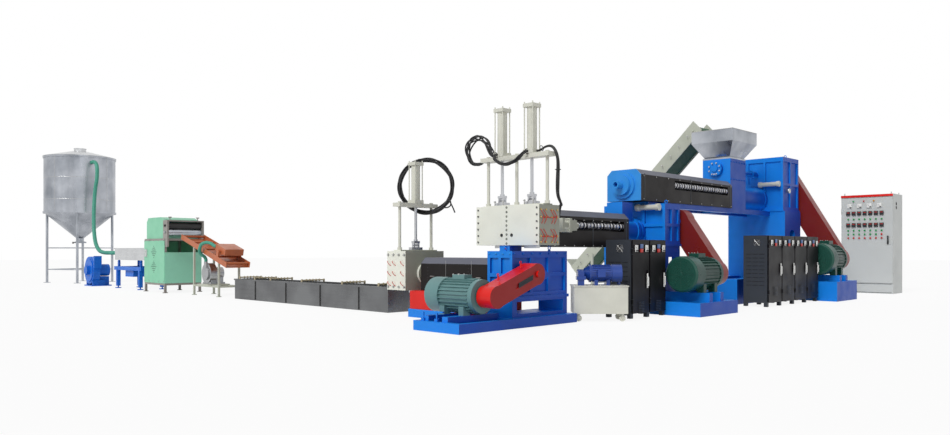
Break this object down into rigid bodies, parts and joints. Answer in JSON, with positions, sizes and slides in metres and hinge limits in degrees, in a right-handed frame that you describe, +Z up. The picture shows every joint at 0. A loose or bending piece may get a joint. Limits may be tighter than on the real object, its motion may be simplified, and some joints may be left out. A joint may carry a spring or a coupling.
{
  "type": "plastic pelletizing machine",
  "caption": "Plastic pelletizing line with stacked extruders, screen changers, cooling tank, strand cutter, vibrating sieve, blower and silo, heater and control cabinets",
  "frame": {"origin": "floor point under the crossing of the stage 3 screw axis with the common screw axis of stages 2 and 1, on the underside of the stage 3 base", "axes": "+X from the silo towards the stage 3 belt guard, along the tank; +Y along the screws of stages 2 and 1 towards the control cabinet; +Z up"},
  "size_m": [21.6948, 13.73, 4.29],
  "materials": {
    "polished_steel": "bright rolled sheet with fine vertical grain",
    "steel_parts": "machined steel, lightly oiled",
    "tank_steel": "dull sheet with water marks",
    "hose_green": "smooth ribbed hose",
    "hose_black": "matt black hose",
    "blower_blue": "satin paint",
    "cutter_frame_paint": "satin paint",
    "mint_paint": "satin paint",
    "roller_rubber": "matt covering",
    "copper_sheet": "copper toned sheet",
    "stand_paint": "satin paint",
    "cast_grey": "cast alloy",
    "guide_brass": "turned plastic",
    "base_blue": "light blue satin paint",
    "cabinet_red": "satin paint",
    "changer_cream": "cream gloss paint",
    "gantry_steel": "cream paint on steel",
    "frame_blue": "royal blue satin paint",
    "motor_green": "grey green paint",
    "guard_red": "gloss red paint",
    "cover_brown": "dark brown paint with a grey blue top",
    "conveyor_paint": "pale grey green paint",
    "belt_green": "belt cover",
    "tank_cream": "cream paint",
    "pump_blue": "satin paint",
    "cabinet_slate": "slate paint",
    "door_black": "near black paint",
    "cabinet_grey": "pale grey paint"
  },
  "bodies": {
    "plant": {"silo_shell": "polished_steel", "silo_roof": "polished_steel", "silo_legs": "polished_steel", "conveying_hose": "hose_green", "conveying_blower": "blower_blue", "sieve_tray": "polished_steel", "sieve_frame": "blower_blue", "cutter_frame": "cutter_frame_paint", "cutter_covers": "mint_paint", "dewatering_chute": "copper_sheet", "chute_stand": "stand_paint", "ring_blower": "cast_grey", "suction_hose": "hose_green", "cooling_tank": "tank_steel", "strand_guides": "guide_brass", "stage3_base": "base_blue", "stage3_support_cabinet": "cabinet_red", "stage3_changer": "changer_cream", "stage3_gantry": "gantry_steel", "stage2_stand": "frame_blue", "stage2_changer": "changer_cream", "stage2_gantry": "gantry_steel", "side_cylinder": "changer_cream", "stage1_frame": "frame_blue", "stage1_die_head": "base_blue", "feed_box": "base_blue", "feed_hopper": "polished_steel", "gearboxes": "frame_blue", "drive_motors": "motor_green", "belt_guards": "guard_red", "barrel_covers": "cover_brown", "cooling_ducts": "steel_parts", "oil_coolers": "changer_cream", "hydraulic_hoses": "hose_black", "conveyor_frame": "conveyor_paint", "conveyor_belt": "belt_green", "hydraulic_tank": "tank_cream", "hydraulic_pump_set": "pump_blue", "small_heater_cabinet": "cabinet_slate", "large_heater_cabinet": "cabinet_slate", "control_cabinet": "cabinet_grey"},
    "slide_gate": {"silo_slide_gate": "steel_parts"},
    "upper_roller": {"cutter_upper_roller": "roller_rubber"},
    "lower_roller": {"cutter_lower_roller": "polished_steel"},
    "slide_stage3": {"stage3_slide": "steel_parts"},
    "slide_stage2_left": {"stage2_slide_left": "steel_parts"},
    "slide_stage2_right": {"stage2_slide_right": "steel_parts"},
    "door_small_1": {"small_door_1": "door_black"},
    "door_small_2": {"small_door_2": "door_black"},
    "door_large_1": {"large_door_1": "door_black"},
    "door_large_2": {"large_door_2": "door_black"},
    "door_large_3": {"large_door_3": "door_black"},
    "door_large_4": {"large_door_4": "door_black"},
    "door_control": {"control_door": "cabinet_grey"}
  },
  "joints": [
    {"name": "gate_slide", "type": "slide", "parent": "plant", "child": "slide_gate", "axis": [0, -1, 0], "range_m": [0, 0.21]},
    {"name": "lower_roller_spin", "type": "hinge", "parent": "plant", "child": "lower_roller", "pos_m": [-10.69, 0, 1.45], "axis": [0, 1, 0], "continuous": true},
    {"name": "upper_roller_spin", "type": "hinge", "parent": "plant", "child": "upper_roller", "pos_m": [-10.69, 0, 1.605], "axis": [0, 1, 0], "continuous": true},
    {"name": "stage3_slide_lift", "type": "slide", "parent": "plant", "child": "slide_stage3", "axis": [0, 0, 1], "range_m": [0, 0.25]},
    {"name": "stage2_left_slide_lift", "type": "slide", "parent": "plant", "child": "slide_stage2_left", "axis": [0, 0, 1], "range_m": [0, 0.25]},
    {"name": "stage2_right_slide_lift", "type": "slide", "parent": "plant", "child": "slide_stage2_right", "axis": [0, 0, 1], "range_m": [0, 0.25]},
    {"name": "small_door_1_hinge", "type": "hinge", "parent": "plant", "child": "door_small_1", "pos_m": [0.91, 1.612, 0.62], "axis": [0, 0, -1], "range_deg": [0, 100]},
    {"name": "small_door_2_hinge", "type": "hinge", "parent": "plant", "child": "door_small_2", "pos_m": [0.91, 2.087, 0.62], "axis": [0, 0, -1], "range_deg": [0, 100]},
    {"name": "large_door_1_hinge", "type": "hinge", "parent": "plant", "child": "door_large_1", "pos_m": [1.33, 5.312, 0.675], "axis": [0, 0, -1], "range_deg": [0, 100]},
    {"name": "large_door_2_hinge", "type": "hinge", "parent": "plant", "child": "door_large_2", "pos_m": [1.33, 5.892, 0.675], "axis": [0, 0, -1], "range_deg": [0, 100]},
    {"name": "large_door_3_hinge", "type": "hinge", "parent": "plant", "child": "door_large_3", "pos_m": [1.33, 6.472, 0.675], "axis": [0, 0, -1], "range_deg": [0, 100]},
    {"name": "large_door_4_hinge", "type": "hinge", "parent": "plant", "child": "door_large_4", "pos_m": [1.33, 7.052, 0.675], "axis": [0, 0, -1], "range_deg": [0, 100]},
    {"name": "control_door_hinge", "type": "hinge", "parent": "plant", "child": "door_control", "pos_m": [0.472, 11.37, 1.2], "axis": [0, 0, -1], "range_deg": [0, 100]}
  ],
  "couplings": [
    {"joint": "upper_roller_spin", "follows": "lower_roller_spin", "ratio": -1}
  ]
}
